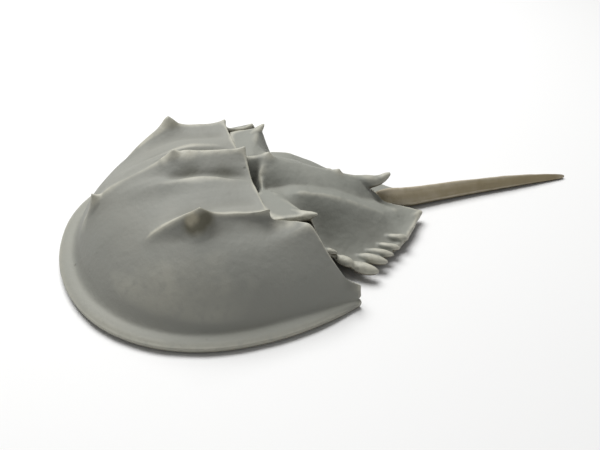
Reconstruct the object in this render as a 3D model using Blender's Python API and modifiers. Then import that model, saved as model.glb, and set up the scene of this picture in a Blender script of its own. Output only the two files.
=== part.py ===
"""A horseshoe crab shell lying on its rim: head shield, abdomen shield and tail spine.

The head points towards -Y, the tail towards +Y, and the shell rests on Z = 0.
Places are given in head widths: x out from the middle, y back from the front rim,
z up from the table. The function place() turns them into metres.
"""

import math

import bmesh
import bpy
from mathutils import Vector

# Driving dimensions, in metres
HEAD_WIDTH = 0.150
# Driving proportions, in head widths
TOTAL_LENGTH = 1.776
WALL = 0.017
# Colours of the shields and of the tail spine, red, green and blue
SHIELD_COLOUR = (0.36, 0.35, 0.31)
TAIL_COLOUR = (0.36, 0.31, 0.25)
SHELL_ROUGHNESS = 0.6

# Rim of the head shield, seen from above
RIM_WIDEST_Y = 0.491
RIM_ROUNDNESS = 2.181
CHEEK_TIP = (0.428, 0.800)
# Share of the rim line that lies ahead of its widest place
RIM_FRONT_SHARE = 0.72
# Cross-section of the rolled rim: distance in from its outer edge, z
RIM_SECTION = (
    (0.034, 0.029),
    (0.018, 0.029),
    (0.004, 0.022),
    (0.000, 0.013),
    (0.005, 0.004),
    (0.013, 0.000),
    (0.031, 0.000),
    (0.042, 0.012),
)
GROOVE_INSET_FRONT = 0.050
GROOVE_INSET_SIDE = 0.041
GROOVE_INSET_CHEEK = 0.014
RIM_FOOT_LEAST = 0.030
# Where the groove's distance from the rim changes, in shares of the rim line
GROOVE_SIDE_SHARES = (0.6, 0.8)
GROOVE_HEIGHT = 0.028

# Dome of the head shield
DOME_RISE_FRONT = 0.257
DOME_RISE_REAR = 0.236
# Power that shapes the dome, from straight ahead (0) to straight aside (1)
DOME_FULLNESS = ((0.0, 3.3), (0.2, 2.7), (0.4, 2.5), (0.7, 3.0), (1.0, 3.4))
DOME_STEEPNESS = 0.55
# The dome's height goes from its front to its rear rise between these two y places
DOME_RISE_CHANGE = (0.40, 0.60)
# Share of the rim's narrowing behind its widest place that the dome follows
DOME_NARROWING = 0.62

# Inner face: wall at the sides and at the cheeks, in walls, and the way inwards at a cheek
INNER_SIDE_WALL = 0.85
INNER_CHEEK_WALL = 1.1
INNER_LEAST_WALL = 0.8
INNER_CHEEK_WAY = (-0.8, -0.6)
INNER_EDGE_THINNING = 0.6
INNER_FOOT_STEP = 0.004
# Where the walls turn steep near a cheek, in shares of the way round
CHEEK_TURN = (0.62, 0.82)

# Rear border of the head shield, from the middle to the cheek tip: x, y, z
HEAD_BORDER = (
    (0.000, 0.575, 0.318),
    (0.040, 0.574, 0.290),
    (0.100, 0.573, 0.266),
    (0.200, 0.573, 0.266),
    (0.255, 0.573, 0.270),
    (0.274, 0.575, 0.274),
    (0.277, 0.583, 0.243),
    (0.279, 0.612, 0.230),
    (0.285, 0.646, 0.221),
    (0.306, 0.675, 0.222),
    (0.334, 0.697, 0.202),
    (0.365, 0.719, 0.168),
    (0.386, 0.742, 0.132),
    (0.400, 0.768, 0.100),
    (0.411, 0.800, 0.078),
)
EYE_RIDGE_END = 5
# Power with which the skin bends down to the rear border
BORDER_BEND = 4

# Ridge over each eye: y, x, height above the dome
EYE_RIDGE_LINE = ((0.085, 0.185), (0.269, 0.231), (0.355, 0.250), (0.398, 0.261), (0.575, 0.274))
EYE_RIDGE_RISE = (
    (0.25, 0.000),
    (0.31, 0.008),
    (0.36, 0.019),
    (0.42, 0.024),
    (0.46, 0.012),
    (0.52, 0.007),
    (0.575, 0.009),
)
EYE_RIDGE_INNER = 0.030
EYE_RIDGE_OUTER = 0.016
EYE_RIDGE_POWER = 1.5
# The eye: middle x and y, half width and half length, bulge x, y and z
EYE_CENTRE = (0.286, 0.388)
EYE_REACH = (0.022, 0.030)
EYE_BULGE = (0.018, 0.000, 0.008)

# Middle lobe of the head shield: y, height above the dome, half width
HEAD_LOBE = (
    (0.052, 0.000, 0.040),
    (0.100, 0.012, 0.045),
    (0.160, 0.016, 0.055),
    (0.255, 0.016, 0.060),
    (0.320, 0.032, 0.062),
    (0.400, 0.050, 0.078),
    (0.480, 0.054, 0.085),
    (0.575, 0.056, 0.085),
)

HEAD_LOBE_POWER = 1.4

# Spines of the head shield: foot x, foot y, reach of the foot, tip offset x, y, z
HEAD_SPINES = (
    (0.000, 0.127, 0.026, 0.000, -0.004, 0.026),
    (0.000, 0.363, 0.030, 0.000, 0.004, 0.020),
    (0.000, 0.575, 0.030, 0.000, 0.008, 0.011),
    (0.261, 0.398, 0.026, 0.000, 0.002, 0.016),
    (0.274, 0.575, 0.026, 0.001, 0.007, 0.007),
)
# Power that sharpens those spines
SPINE_SHARPNESS = 1.5

# Abdomen shield: middle line crest and foot of its middle lobe: y, z
ABDOMEN_CREST = (
    (0.560, 0.290),
    (0.600, 0.288),
    (0.640, 0.282),
    (0.666, 0.274),
    (0.762, 0.229),
    (0.862, 0.184),
    (0.909, 0.164),
    (0.954, 0.153),
    (1.020, 0.140),
)
ABDOMEN_LOBE_FOOT = (
    (0.560, 0.190),
    (0.600, 0.190),
    (0.640, 0.215),
    (0.700, 0.216),
    (0.777, 0.199),
    (0.839, 0.176),
    (0.900, 0.148),
    (0.960, 0.124),
    (1.020, 0.112),
)
ABDOMEN_LOBE_HALF = ((0.560, 0.060), (0.620, 0.082), (0.900, 0.078), (1.020, 0.040))
ABDOMEN_LOBE_POWER = 1.7
# Nearly level shelf beside the lobe: its edge x, and its most as a share of the half width
ABDOMEN_PLATFORM_X = 0.125
ABDOMEN_PLATFORM_SHARE = 0.6
# Walls below the outer face, inside the side margin and at it, and how late it thins
ABDOMEN_WALLS = (1.9, 1.0)
ABDOMEN_THINNING = 3

# Side margin of the abdomen shield from its front corner to the tail notch: x, y, z
ABDOMEN_MARGIN = (
    (0.266, 0.592, 0.232),
    (0.270, 0.640, 0.233),
    (0.272, 0.690, 0.228),
    (0.272, 0.716, 0.170),
    (0.270, 0.741, 0.112),
    (0.264, 0.785, 0.070),
    (0.272, 0.830, 0.050),
    (0.272, 0.870, 0.041),
    (0.250, 0.925, 0.037),
    (0.215, 0.975, 0.039),
    (0.185, 1.020, 0.042),
    (0.142, 1.075, 0.046),
    (0.085, 1.155, 0.038),
)
ABDOMEN_FRONT_Y = 0.560
ABDOMEN_NOTCH_Y = 1.012
ABDOMEN_HOLLOW = 1.8
# Power with which the lines across bend back to the side margin
MARGIN_BOW = 1.8

# Rear edge of each front wing of the abdomen, out to its shoulder spine: x, y, z
WING_EDGE = (
    (0.085, 0.616, 0.222),
    (0.130, 0.629, 0.230),
    (0.175, 0.638, 0.233),
    (0.235, 0.661, 0.234),
    (0.272, 0.678, 0.235),
)
WING_FALL = 0.034
# The wings rise from the middle lobe between these two x places
WING_START = (0.06, 0.11)
# Rib that runs down from the front spine of the abdomen to its wings: x, y, z
FRONT_RIB = (
    (0.000, 0.650, 0.276),
    (0.030, 0.634, 0.262),
    (0.060, 0.616, 0.243),
    (0.110, 0.606, 0.228),
)
FRONT_RIB_HALF = 0.013
# The rib fades out between these two x places
FRONT_RIB_END = (0.095, 0.125)

# Spines of the abdomen shield: foot x, foot y, reach of the foot, tip offset x, y, z
ABDOMEN_SPINES = (
    (0.000, 0.650, 0.034, 0.000, 0.008, 0.017),
    (0.000, 0.878, 0.030, 0.000, 0.010, 0.014),
    (0.000, 1.012, 0.040, 0.000, 0.050, 0.010),
    (0.260, 0.672, 0.034, 0.006, 0.014, 0.010),
)
# Spines along the side margin, shoulder spine first: share of the margin, and the tip
MARGIN_SPINES = (
    (0.125, (0.286, 0.720, 0.239)),
    (0.345, (0.272, 0.787, 0.076)),
    (0.430, (0.292, 0.832, 0.043)),
    (0.515, (0.322, 0.896, 0.033)),
    (0.600, (0.283, 0.942, 0.030)),
    (0.685, (0.242, 1.000, 0.035)),
    (0.770, (0.216, 1.042, 0.040)),
)

# Steps that draw a margin spine out: share of its length, and narrowing
SPINE_STEPS = ((0.35, 0.95), (0.40, 0.75), (0.25, 0.25))

# Tail spine: y, half width, underside z, top z, middle x
TAIL_STATIONS = (
    (1.026, 0.022, 0.040, 0.082, 0.000),
    (1.060, 0.028, 0.028, 0.084, -0.002),
    (1.117, 0.030, 0.010, 0.076, -0.006),
    (1.170, 0.030, 0.000, 0.070, -0.010),
    (1.260, 0.028, 0.000, 0.066, -0.012),
    (1.360, 0.025, 0.000, 0.061, -0.013),
    (1.493, 0.020, 0.000, 0.052, -0.012),
    (1.620, 0.014, 0.000, 0.040, -0.010),
    (1.720, 0.009, 0.000, 0.027, -0.008),
    (1.765, 0.006, 0.000, 0.018, -0.007),
    (1.776, 0.003, 0.001, 0.010, -0.007),
)
TAIL_SIDES = 10
TAIL_RINGS = 22
# Share of the tail's height above its widest line, and how much its top narrows
TAIL_KEEL = 0.62
TAIL_TOP_NARROWING = 0.25

# Mesh lines; the eye ridge follows one of them
RIDGE_SHARE = 0.42
RIDGE_RIM_SHARE = 0.235
RIDGE_BOW_FADE = 0.2
HEAD_ACROSS = 26
HEAD_OUTER_ROWS = (
    0.0, 0.025, 0.06, 0.11, 0.17, 0.235, 0.29, 0.33, 0.361, 0.405, 0.45, 0.51, 0.58, 0.65, 0.72,
    0.78, 0.83, 0.857, 0.89, 0.93, 0.965, 1.0,
)
HEAD_INNER_ROWS = (0.96, 0.88, 0.76, 0.62, 0.46, 0.3, 0.14, 0.0)
ABDOMEN_ACROSS = 14
ABDOMEN_ALONG = 24


def place(point):
    """A point in head widths as metres, with the origin under the middle of the shell."""
    x, y, z = point
    return Vector((x, y - TOTAL_LENGTH / 2, z)) * HEAD_WIDTH


def smooth(share):
    """A soft step from 0 to 1."""
    share = min(max(share, 0.0), 1.0)
    return share * share * (3 - 2 * share)


def smooth_between(ends, at):
    """A soft step from 0 at the first end to 1 at the second."""
    return smooth((at - ends[0]) / (ends[1] - ends[0]))


def read(stations, at, column=1):
    """A smooth reading between stations, each a row with its place in column 0."""
    if at <= stations[0][0]:
        return stations[0][column]
    if at >= stations[-1][0]:
        return stations[-1][column]
    index = next(i for i in range(len(stations) - 1) if at <= stations[i + 1][0])
    before = stations[max(index - 1, 0)]
    start, end = stations[index], stations[index + 1]
    after = stations[min(index + 2, len(stations) - 1)]
    span = end[0] - start[0]
    share = (at - start[0]) / span
    slope_in = (end[column] - before[column]) / (end[0] - before[0]) * span
    slope_out = (after[column] - start[column]) / (after[0] - start[0]) * span
    rise = end[column] - start[column]
    if rise * slope_in <= 0:
        slope_in = 0.0
    if rise * slope_out <= 0:
        slope_out = 0.0
    square, cube = share**2, share**3
    return (
        (2 * cube - 3 * square + 1) * start[column]
        + (cube - 2 * square + share) * slope_in
        + (3 * square - 2 * cube) * end[column]
        + (cube - square) * slope_out
    )


def along(points, share):
    """A smooth walk through points, at a share of their run from first to last."""
    runs = [0.0]
    for here, there in zip(points[:-1], points[1:]):
        runs.append(runs[-1] + (Vector(there) - Vector(here)).length)
    rows = [(run / runs[-1], *point) for run, point in zip(runs, points)]
    return [read(rows, share, column + 1) for column in range(len(points[0]))]


def spine_pull(spines, x, y):
    """How far the spines draw out the surface at a plan point."""
    pull = Vector((0, 0, 0))
    for foot_x, foot_y, reach, tip_x, tip_y, tip_z in spines:
        away = math.hypot(x - foot_x, y - foot_y) / reach
        if away < 1:
            pull += Vector((tip_x, tip_y, tip_z)) * (1 - away) ** SPINE_SHARPNESS
    return pull


def rim_outline(share):
    """A point of the head's outer rim and its inward direction; 0 is the front, 1 a cheek tip."""

    def spot(value):
        if value <= RIM_FRONT_SHARE:
            angle = value / RIM_FRONT_SHARE * math.pi / 2
            power = 2 / RIM_ROUNDNESS
            x = 0.5 * math.sin(angle) ** power
            return x, RIM_WIDEST_Y * (1 - math.cos(angle) ** power)
        back = (value - RIM_FRONT_SHARE) / (1 - RIM_FRONT_SHARE)
        x = 0.5 - (0.5 - CHEEK_TIP[0]) * back**2
        return x, RIM_WIDEST_Y + (CHEEK_TIP[1] - RIM_WIDEST_Y) * back

    x, y = spot(share)
    if share == 0:
        return (0.0, 0.0), (0.0, 1.0)
    nearby = 1e-4
    ahead, behind = spot(min(share + nearby, 1)), spot(share - nearby)
    run_x, run_y = ahead[0] - behind[0], ahead[1] - behind[1]
    run = math.hypot(run_x, run_y)
    return (x, y), (-run_y / run, run_x / run)


def groove_inset(share):
    """How far inside the rim the groove runs."""
    stations = (
        (0.0, GROOVE_INSET_FRONT),
        (GROOVE_SIDE_SHARES[0], GROOVE_INSET_SIDE),
        (GROOVE_SIDE_SHARES[1], GROOVE_INSET_SIDE),
        (1.0, GROOVE_INSET_CHEEK),
    )
    return read(stations, share)


def dome_height(x, y, sink=0.0, inset=0.0):
    """Height of the smooth dome; sink and inset give the inner face."""
    half = 0.5 - GROOVE_INSET_SIDE - inset
    if y > RIM_WIDEST_Y:
        back = (y - RIM_WIDEST_Y) / (CHEEK_TIP[1] - RIM_WIDEST_Y)
        half -= (0.5 - CHEEK_TIP[0]) * DOME_NARROWING * back**2
    front = RIM_WIDEST_Y - GROOVE_INSET_FRONT - inset
    ahead = max(RIM_WIDEST_Y - y, 0.0) / front
    aside = abs(x) / half
    out = (aside**RIM_ROUNDNESS + ahead**RIM_ROUNDNESS) ** (1 / RIM_ROUNDNESS)
    turn = math.atan2(aside, ahead) / (math.pi / 2) if out > 0 else 0.5
    fullness = read(DOME_FULLNESS, turn)
    rearward = smooth_between(DOME_RISE_CHANGE, y)
    rise = DOME_RISE_FRONT + (DOME_RISE_REAR - DOME_RISE_FRONT) * rearward
    share = max(1 - min(out, 1.0) ** fullness, 0.0)
    return GROOVE_HEIGHT + (rise - sink) * share**DOME_STEEPNESS


def eye_ridge_x(y):
    return read(EYE_RIDGE_LINE, y)


def head_height(x, y):
    """Height of the head's outer face, without its spines."""
    lobe_half = read(HEAD_LOBE, y, 2)
    lobe = read(HEAD_LOBE, y, 1) * max(1 - (abs(x) / lobe_half) ** HEAD_LOBE_POWER, 0.0)
    away = abs(x) - eye_ridge_x(y)
    reach = EYE_RIDGE_OUTER if away > 0 else EYE_RIDGE_INNER
    ridge = read(EYE_RIDGE_RISE, y) * math.exp(-((abs(away) / reach) ** EYE_RIDGE_POWER))
    return dome_height(x, y) + lobe + ridge


def share_of_rim(share):
    """Where the mesh line at a share of the way round meets the rim outline."""
    if share <= RIDGE_SHARE:
        return share / RIDGE_SHARE * RIDGE_RIM_SHARE
    return RIDGE_RIM_SHARE + (share - RIDGE_SHARE) / (1 - RIDGE_SHARE) * (1 - RIDGE_RIM_SHARE)


def head_plan(share, inward):
    """Plan point on the line from the rear border (inward 0) to the groove (inward 1)."""
    split = RIDGE_SHARE
    if share <= split:
        border_share = share / split * BORDER_TO_RIDGE
    else:
        beyond = (share - split) / (1 - split)
        border_share = BORDER_TO_RIDGE + beyond * (1 - BORDER_TO_RIDGE)
    rim_share = share_of_rim(share)
    border = along(HEAD_BORDER, border_share)
    (rim_x, rim_y), (in_x, in_y) = rim_outline(rim_share)
    inset = groove_inset(rim_share)
    groove = (rim_x + in_x * inset, rim_y + in_y * inset)
    x = border[0] + (groove[0] - border[0]) * inward
    y = border[1] + (groove[1] - border[1]) * inward
    bow = min(share / split, 1.0) if share <= split else max(1 - (share - split) / RIDGE_BOW_FADE, 0.0)
    if share > 0:
        x += bow * (eye_ridge_x(y) - ridge_chord(y))
    return border, (rim_x, rim_y), (in_x, in_y), x, y


def border_run(last):
    """Share of the rear border's run that ends at a given point."""
    runs = [
        (Vector(there) - Vector(here)).length
        for here, there in zip(HEAD_BORDER[:-1], HEAD_BORDER[1:])
    ]
    return sum(runs[:last]) / sum(runs)


BORDER_TO_RIDGE = border_run(EYE_RIDGE_END)


def ridge_chord(y):
    """The straight line from the eye ridge's rear end to the groove in front of it."""
    (rim_x, rim_y), (in_x, in_y) = rim_outline(RIDGE_RIM_SHARE)
    inset = groove_inset(RIDGE_RIM_SHARE)
    end_x, end_y = rim_x + in_x * inset, rim_y + in_y * inset
    start_x, start_y = HEAD_BORDER[EYE_RIDGE_END][:2]
    share = min(max((y - start_y) / (end_y - start_y), 0.0), 1.0)
    return start_x + (end_x - start_x) * share


def head_outer_height(inward, x, y, border):
    """Height of the outer face, bent near the rear border to meet it."""
    if inward == 1.0:
        return GROOVE_HEIGHT
    gap = border[2] - head_height(border[0], border[1])
    return head_height(x, y) + gap * (1 - inward) ** BORDER_BEND


def head_section(share):
    """One closed section of the head shell, from its rear border down to the rim and back inside."""
    loop = []
    for inward in HEAD_OUTER_ROWS:
        border, rim, into, x, y = head_plan(share, inward)
        z = head_outer_height(inward, x, y, border)
        pull = spine_pull(HEAD_SPINES, x, y)
        away = math.hypot((x - EYE_CENTRE[0]) / EYE_REACH[0], (y - EYE_CENTRE[1]) / EYE_REACH[1])
        if away < 1:
            pull += Vector(EYE_BULGE) * (1 - away**2)
        loop.append([x + pull.x, y + pull.y, z + pull.z])
    fit = groove_inset(share_of_rim(share)) / GROOVE_INSET_SIDE
    for inset, z in RIM_SECTION[:-1]:
        loop.append([rim[0] + into[0] * inset * fit, rim[1] + into[1] * inset * fit, z])
    foot, foot_z = RIM_SECTION[-1]
    foot = max(foot * fit, RIM_FOOT_LEAST)
    loop.append([rim[0] + into[0] * foot, rim[1] + into[1] * foot, foot_z])
    steep = smooth_between(CHEEK_TURN, share)
    for inward in HEAD_INNER_ROWS:
        border, rim, into, x, y = head_plan(share, inward)
        under = head_outer_height(inward, x, y, border)
        side = WALL * INNER_SIDE_WALL * inward
        back = WALL * INNER_CHEEK_WALL * steep * (1 - inward)
        x += into[0] * side + INNER_CHEEK_WAY[0] * back
        y += into[1] * side + INNER_CHEEK_WAY[1] * back
        z = dome_height(x, y, WALL, WALL)
        edge = border[2] - WALL * (1 - INNER_EDGE_THINNING * steep)
        gap = edge - dome_height(border[0], border[1], WALL, WALL)
        z += gap * (1 - inward) ** BORDER_BEND
        z = min(z, under - WALL * INNER_LEAST_WALL * (1 - steep))
        loop.append([x, y, max(z, foot_z + INNER_FOOT_STEP)])
    if share == 0:
        for point in loop:
            point[0] = 0.0
    return [place(point) for point in loop]


def skin_sections(mesh, sections):
    """Quads between neighbouring closed sections; returns the rows of vertices."""
    rows = [[mesh.verts.new(point) for point in section] for section in sections]
    for here, there in zip(rows[:-1], rows[1:]):
        for i in range(len(here)):
            j = (i + 1) % len(here)
            mesh.faces.new((here[i], here[j], there[j], there[i]))
    return rows


def finish(mesh, name, collection, colour, mirrored):
    """Turns a bmesh into a smooth-shaded object with its own material."""
    bmesh.ops.recalc_face_normals(mesh, faces=mesh.faces)
    data = bpy.data.meshes.new(name)
    mesh.to_mesh(data)
    mesh.free()
    data.shade_smooth()
    material = bpy.data.materials.new(name)
    material.use_nodes = True
    shader = material.node_tree.nodes["Principled BSDF"]
    shader.inputs["Base Color"].default_value = (*colour, 1.0)
    shader.inputs["Roughness"].default_value = SHELL_ROUGHNESS
    shader.inputs["Metallic"].default_value = 0.0
    data.materials.append(material)
    thing = bpy.data.objects.new(name, data)
    collection.objects.link(thing)
    if mirrored:
        mirror = thing.modifiers.new("Mirror", "MIRROR")
        mirror.use_axis = (True, False, False)
        mirror.merge_threshold = 1e-5
    return thing


def make_head(collection):
    """The domed front shield with rolled rim, eye ridges, eyes and spines."""
    mesh = bmesh.new()
    sections = [head_section(i / HEAD_ACROSS) for i in range(HEAD_ACROSS + 1)]
    rows = skin_sections(mesh, sections)
    cap = mesh.faces.new(rows[-1])
    bmesh.ops.triangulate(mesh, faces=[cap], ngon_method="EAR_CLIP")
    return finish(mesh, "head_shield", collection, SHIELD_COLOUR, True)


def abdomen_plan(across, back):
    """Plan point of the abdomen, and its side margin point at the same share of its length."""
    margin = along(ABDOMEN_MARGIN, back)
    middle_y = ABDOMEN_FRONT_Y + (ABDOMEN_NOTCH_Y - ABDOMEN_FRONT_Y) * back
    return margin[0] * across, middle_y + (margin[1] - middle_y) * across**MARGIN_BOW, margin


def abdomen_height(x, y, margin):
    """Height of the abdomen's outer face, without its spines."""
    half = read(ABDOMEN_LOBE_HALF, y)
    foot = read(ABDOMEN_LOBE_FOOT, y)
    crest = read(ABDOMEN_CREST, y)
    edge_x = margin[0]
    platform = min(ABDOMEN_PLATFORM_X, edge_x * ABDOMEN_PLATFORM_SHARE)
    if x < platform:
        field = foot
    else:
        out = min((x - platform) / (edge_x - platform), 1.0)
        field = margin[2] + (foot - margin[2]) * (1 - out) ** ABDOMEN_HOLLOW
    lobe = (crest - foot) * max(1 - (x / half) ** ABDOMEN_LOBE_POWER, 0.0)
    height = field + lobe
    rib_y, rib_z = read(FRONT_RIB, x, 1), read(FRONT_RIB, x, 2)
    rib = math.exp(-(((y - rib_y) / FRONT_RIB_HALF) ** 2)) * (1 - smooth_between(FRONT_RIB_END, x))
    height += (max(rib_z, height) - height) * rib
    edge_y, edge_z = read(WING_EDGE, x, 1), read(WING_EDGE, x, 2)
    wing = smooth_between(WING_START, x)
    if y > edge_y:
        wing *= math.exp(-(((y - edge_y) / WING_FALL) ** 2))
    return height + (edge_z - height) * wing


def abdomen_line(across):
    """One closed section of the abdomen, front to rear on top and back underneath."""
    top, under = [], []
    for i in range(ABDOMEN_ALONG + 1):
        back = i / ABDOMEN_ALONG
        x, y, margin = abdomen_plan(across, back)
        z = abdomen_height(x, y, margin)
        walls = ABDOMEN_WALLS[0] + (ABDOMEN_WALLS[1] - ABDOMEN_WALLS[0]) * across**ABDOMEN_THINNING
        pull = spine_pull(ABDOMEN_SPINES, x, y)
        top.append((x + pull.x, y + pull.y, z + pull.z))
        under.append((x, y, z - WALL * walls))
    if across == 0:
        top = [(0.0, y, z) for _, y, z in top]
    return [place(point) for point in top + under[::-1]]


def make_abdomen(collection):
    """The rear shield with its middle lobe, shoulder ridges, side spines and tail notch."""
    mesh = bmesh.new()
    sections = [abdomen_line(i / ABDOMEN_ACROSS) for i in range(ABDOMEN_ACROSS + 1)]
    edge = skin_sections(mesh, sections)[-1]
    last = len(edge) - 1
    walls = []
    for i in range(ABDOMEN_ALONG):
        walls.append(mesh.faces.new((edge[i], edge[i + 1], edge[last - i - 1], edge[last - i])))
    for share, tip in MARGIN_SPINES:
        grow_spine(mesh, walls[round(share * ABDOMEN_ALONG)], place(tip))
    return finish(mesh, "abdomen_shield", collection, SHIELD_COLOUR, True)


def grow_spine(mesh, wall, tip):
    """Draws one face of the side wall out into a pointed spine that ends at tip."""
    direction = tip - wall.calc_center_median()
    for reach, size in SPINE_STEPS:
        made = bmesh.ops.extrude_discrete_faces(mesh, faces=[wall])
        wall = made["faces"][0]
        bmesh.ops.translate(mesh, verts=wall.verts, vec=direction * reach)
        middle = wall.calc_center_median()
        for corner in wall.verts:
            corner.co = middle + (corner.co - middle) * size


def tail_section(station):
    """One ring of the tail spine: a keeled top over a flatter underside."""
    y, half, low, high, middle = station
    tall = high - low
    centre = high - tall * TAIL_KEEL
    ring = []
    for i in range(TAIL_SIDES):
        turn = 2 * math.pi * i / TAIL_SIDES
        side, up = math.cos(turn), math.sin(turn)
        z = centre + up * tall * (TAIL_KEEL if up > 0 else 1 - TAIL_KEEL)
        x = middle + side * half * (1 - TAIL_TOP_NARROWING * max(up, 0.0))
        ring.append(place((x, y, z)))
    return ring


def make_tail(collection):
    """The long tapering tail spine, lying on the table."""
    mesh = bmesh.new()
    first, final = TAIL_STATIONS[0][0], TAIL_STATIONS[-1][0]
    sections = []
    for i in range(TAIL_RINGS + 1):
        y = first + (final - first) * i / TAIL_RINGS
        station = [y] + [read(TAIL_STATIONS, y, column) for column in (1, 2, 3, 4)]
        sections.append(tail_section(station))
    rows = skin_sections(mesh, sections)
    mesh.faces.new(rows[0])
    mesh.faces.new(rows[-1])
    return finish(mesh, "tail_spine", collection, TAIL_COLOUR, False)


def main():
    for thing in list(bpy.data.objects):
        bpy.data.objects.remove(thing, do_unlink=True)
    collection = bpy.data.collections.new("horseshoe_crab_shell")
    bpy.context.scene.collection.children.link(collection)
    make_head(collection)
    make_abdomen(collection)
    make_tail(collection)


main()
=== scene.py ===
# %% [markdown]
# # A horseshoe crab shell
#
# The solid model of this shell is plain and faceted. This notebook gives it the look of the
# real thing: finer skin, spines with soft feet, and a chalky grey surface that goes cream
# where it is rubbed. The solid model comes first, because every piece made below takes the
# place of one of its pieces.

# %% Load the solid model
import math

import bmesh
import bpy
import numpy as np
from mathutils import Matrix, Vector, noise


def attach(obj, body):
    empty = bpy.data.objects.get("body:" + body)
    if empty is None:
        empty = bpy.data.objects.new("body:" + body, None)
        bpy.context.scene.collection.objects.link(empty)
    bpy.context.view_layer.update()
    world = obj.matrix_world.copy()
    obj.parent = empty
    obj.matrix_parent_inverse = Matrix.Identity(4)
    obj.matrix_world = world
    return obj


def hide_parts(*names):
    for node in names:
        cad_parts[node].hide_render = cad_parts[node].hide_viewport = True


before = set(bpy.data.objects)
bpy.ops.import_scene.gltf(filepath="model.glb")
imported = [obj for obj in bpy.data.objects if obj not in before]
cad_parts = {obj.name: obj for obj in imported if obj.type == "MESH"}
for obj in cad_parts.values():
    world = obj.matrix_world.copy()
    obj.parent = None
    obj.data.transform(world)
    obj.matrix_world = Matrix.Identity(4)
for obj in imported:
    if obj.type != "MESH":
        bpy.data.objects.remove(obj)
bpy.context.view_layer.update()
print("solid pieces:", sorted(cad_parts))

# %% [markdown]
# ## Measuring in head widths
#
# A horseshoe crab is easiest to lay out in widths of its own head. Here x runs out from the
# middle line, y back from the front rim and z up from the table, all in head widths. One
# function turns such points into metres, so one number sets the size of the whole shell.

# %% Head widths to metres
HEAD_WIDTH = 0.150
SHELL_LENGTH = 1.776


def place(x, y, z):
    """Points in metres from their places in head widths."""
    x, y, z = np.broadcast_arrays(x, y, z)
    return np.stack([x, y - SHELL_LENGTH / 2, z], axis=-1) * HEAD_WIDTH


print("tail tip in metres:", place(0.0, SHELL_LENGTH, 0.0))

# %% [markdown]
# ## The camera
#
# The shell is seen from its right side, from a little in front and well above. The camera
# stands close, a bit over two head widths away, so the near flank looks large and the tail
# small. Two directions turn the camera, which is plainer than three angles.

# %% Camera
CAMERA_SPOT = (1.74134, 0.18564, 1.31247)
CAMERA_RIGHT = (0.30297, 0.95292, 0.01265)
CAMERA_UP = (-0.55765, 0.16650, 0.81320)
CAMERA_LENS = 41.04


def add_object(name, data):
    """A new object in the scene, made from a mesh, a camera or a lamp."""
    thing = bpy.data.objects.new(name, data)
    bpy.context.scene.collection.objects.link(thing)
    return thing


camera = add_object("camera", bpy.data.cameras.new("camera"))
right = Vector(CAMERA_RIGHT).normalized()
up = Vector(CAMERA_UP)
up = (up - right * up.dot(right)).normalized()
turn = Matrix((right, up, right.cross(up))).transposed()
camera.matrix_world = Matrix.Translation(Vector(place(*CAMERA_SPOT))) @ turn.to_4x4()
camera.data.lens = CAMERA_LENS
camera.data.sensor_width = 36.0
camera.data.sensor_fit = "HORIZONTAL"
camera.data.dof.use_dof = False
bpy.context.scene.camera = camera
print("camera stands at", [round(v, 3) for v in camera.matrix_world.translation])

# %% [markdown]
# ## Curves read from a few stations
#
# A grown form has no straight runs, yet a few measured places describe it well. A small
# table holds those places, and a smooth curve is read between them. The curve used here
# never overshoots its stations, so a ridge doesn't ripple. A spline object would do too,
# but plain arrays let one call answer for every point of a mesh at once.

# %% Smooth readings
def reading(stations, at, column=1):
    """Values of one column at the places in column 0, joined smoothly without overshoot."""
    table = np.array(stations, float)
    spots, values = table[:, 0], table[:, column]
    steps = np.diff(values) / np.diff(spots)
    before, after = np.append(steps[0], steps), np.append(steps, steps[-1])
    same_way = before * after > 0
    slopes = np.where(same_way, 2 * before * after / np.where(same_way, before + after, 1), 0)
    at = np.clip(at, spots[0], spots[-1])
    i = np.clip(np.searchsorted(spots, at) - 1, 0, len(spots) - 2)
    span = spots[i + 1] - spots[i]
    t = (at - spots[i]) / span
    start = values[i] * (1 + 2 * t) * (1 - t) ** 2 + slopes[i] * span * t * (1 - t) ** 2
    return start + values[i + 1] * t * t * (3 - 2 * t) - slopes[i + 1] * span * t * t * (1 - t)


def walk(points, share):
    """Points at shares of the run along a path, one column for each number of a point."""
    path = np.array(points, float)
    run = np.append(0, np.cumsum(np.linalg.norm(np.diff(path, axis=0), axis=1)))
    stations = np.column_stack([run / run[-1], path])
    return [reading(stations, share, column + 1) for column in range(path.shape[1])]


def step(low, high, at):
    """A soft step from 0 at low to 1 at high."""
    t = np.clip((at - low) / (high - low), 0, 1)
    return t * t * (3 - 2 * t)


def bell(away, width, power=2.0):
    """1 in the middle, falling off softly on both sides."""
    return np.exp(-(np.abs(away / width) ** power))


print("reading between stations:", reading([(0, 0), (1, 1), (2, 1)], np.array([0.5, 1.5])))

# %% [markdown]
# ## Outline of the head shield
#
# From above, the head shield is a horseshoe: a round front, its widest place about half
# way back, and two cheeks that draw in a little to their points. A superellipse gives the
# front, because one power sets how square it is. The cheeks follow with a gentle bend.

# %% Rim outline
RIM_WIDEST_Y = 0.491
RIM_ROUNDNESS = 2.181
CHEEK_TIP = (0.428, 0.800)
RIM_FRONT_SHARE = 0.72
GROOVE_FRONT, GROOVE_SIDE, GROOVE_TIP = 0.050, 0.041, 0.014


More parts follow.
